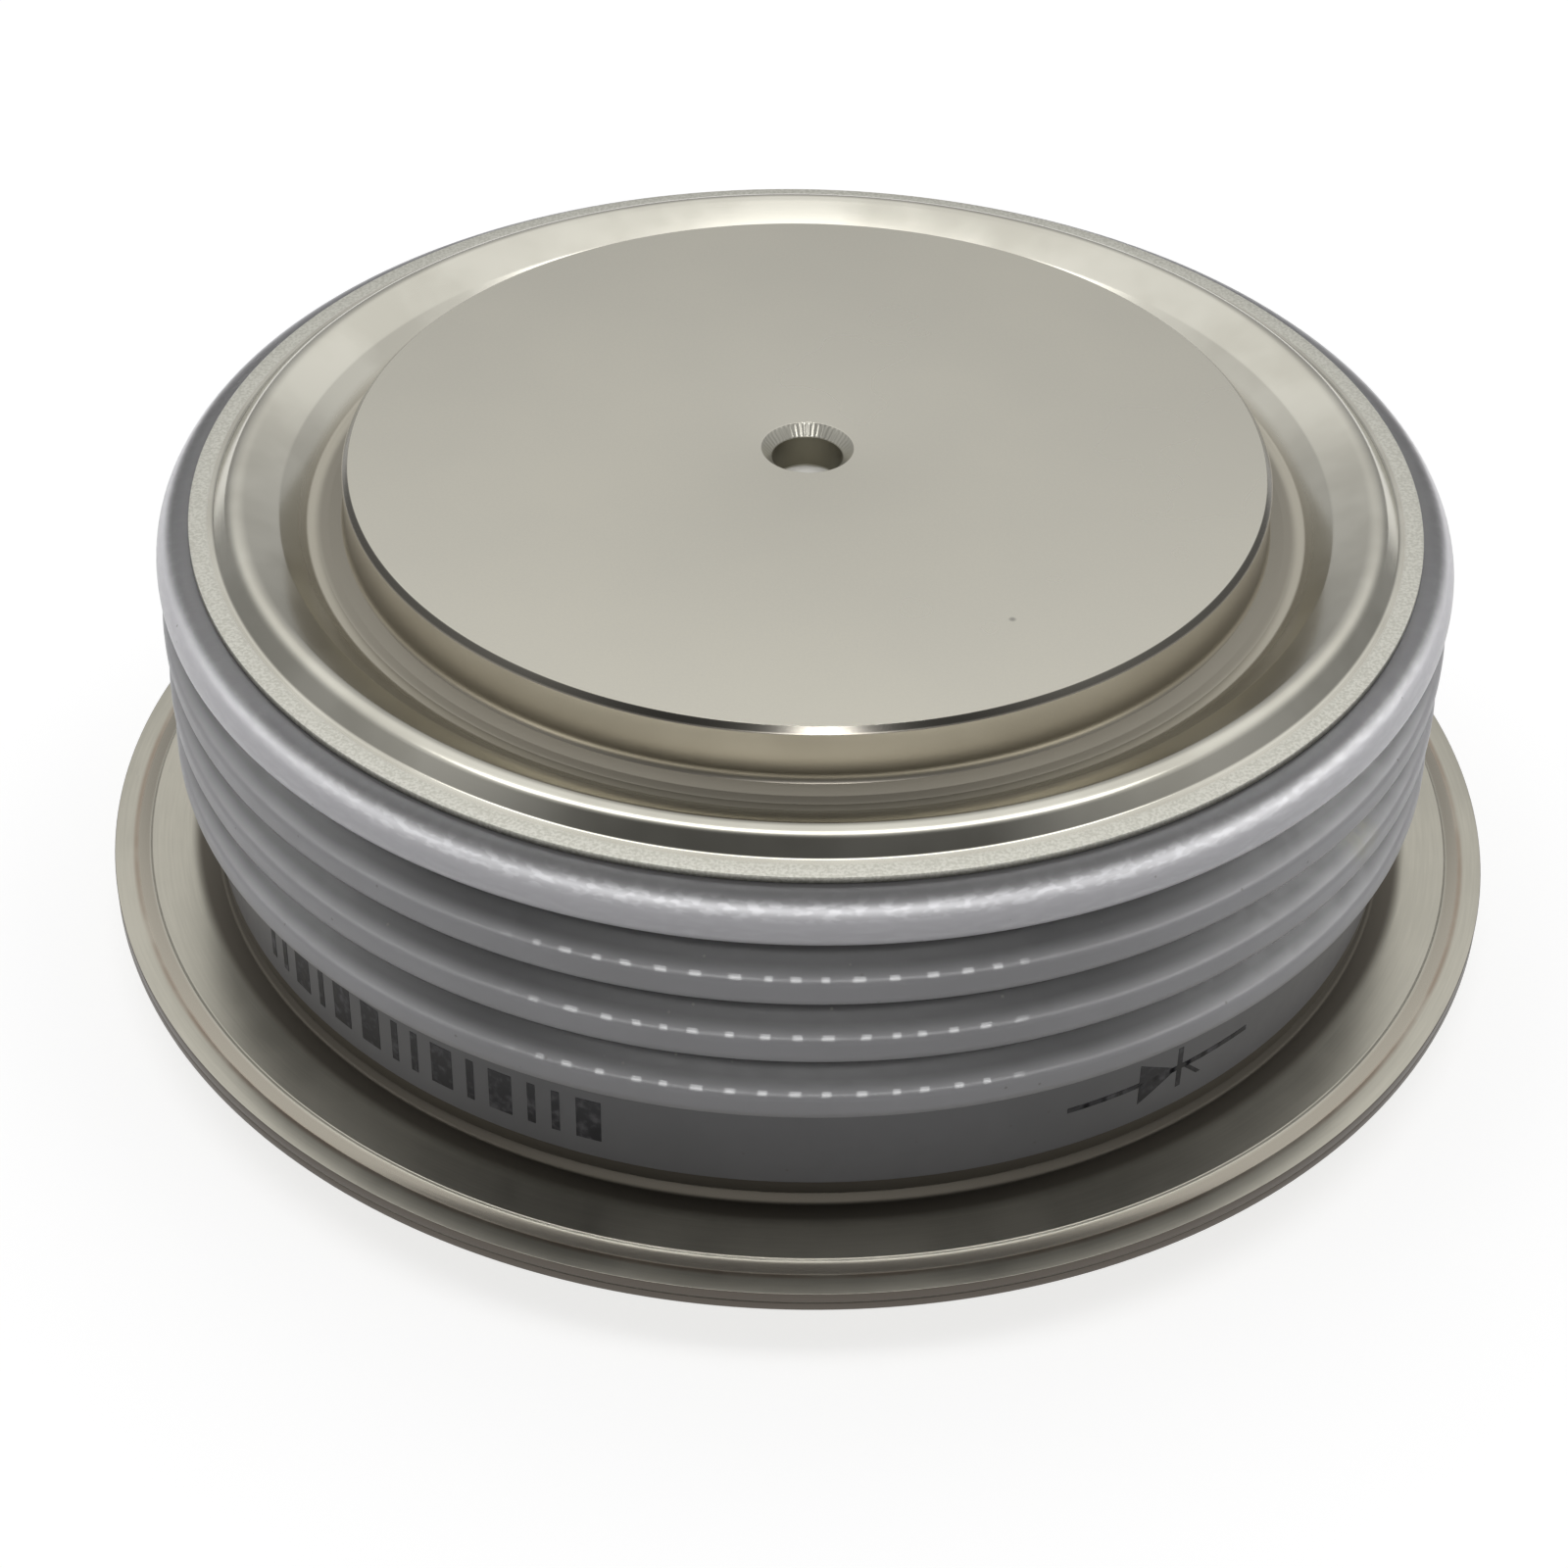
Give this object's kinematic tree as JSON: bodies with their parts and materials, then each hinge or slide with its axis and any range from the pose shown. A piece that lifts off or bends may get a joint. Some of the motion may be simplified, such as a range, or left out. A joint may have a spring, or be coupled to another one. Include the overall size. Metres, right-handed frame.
{
  "type": "press-pack disc thyristor",
  "caption": "Round press-pack thyristor capsule: plated pole discs on both faces, a ribbed glazed ceramic ring, a welded flange and a gate tube, clamped between heat sinks to switch power.",
  "frame": {"origin": "centre of the cathode pole's face, on the plane that the capsule rests on", "axes": "+Z along the capsule's axis from the cathode to the anode; the gate tube points to +Y; the picture looks along +Y"},
  "size_m": [0.0741, 0.074, 0.0265],
  "materials": {
    "glazed_alumina": "smooth pale grey glaze over fired alumina",
    "plated_copper": "warm satin nickel plate on lapped copper",
    "plated_sheet": "bright nickel plate on pressed sheet",
    "flange_sheet": "satin nickel plate on pressed sheet",
    "molybdenum": "ground, matt",
    "silicon": "polished dark grey",
    "silicone_rubber": "matt, cast",
    "white_plastic": "turned white fluoropolymer",
    "spring_steel": "bright drawn wire",
    "silvered_metal": "silver plate",
    "lead_metal": "drawn copper wire",
    "marking_ink": "fired black marking ink"
  },
  "bodies": {
    "root": {"ceramic_housing": "glazed_alumina", "anode_pole": "plated_copper", "cathode_pole": "plated_copper", "anode_diaphragm": "plated_sheet", "ceramic_flange": "flange_sheet", "cathode_lid": "flange_sheet", "anode_moly_disc": "molybdenum", "silicon_wafer": "silicon", "edge_coating": "silicone_rubber", "cathode_moly_disc": "molybdenum", "locating_ring": "white_plastic", "gate_cup": "white_plastic", "gate_bush": "white_plastic", "gate_spring": "spring_steel", "gate_pin": "silvered_metal", "gate_wire": "lead_metal", "gate_sleeve": "white_plastic", "gate_tube": "plated_sheet", "gate_collar": "plated_sheet"}
  },
  "joints": []
}
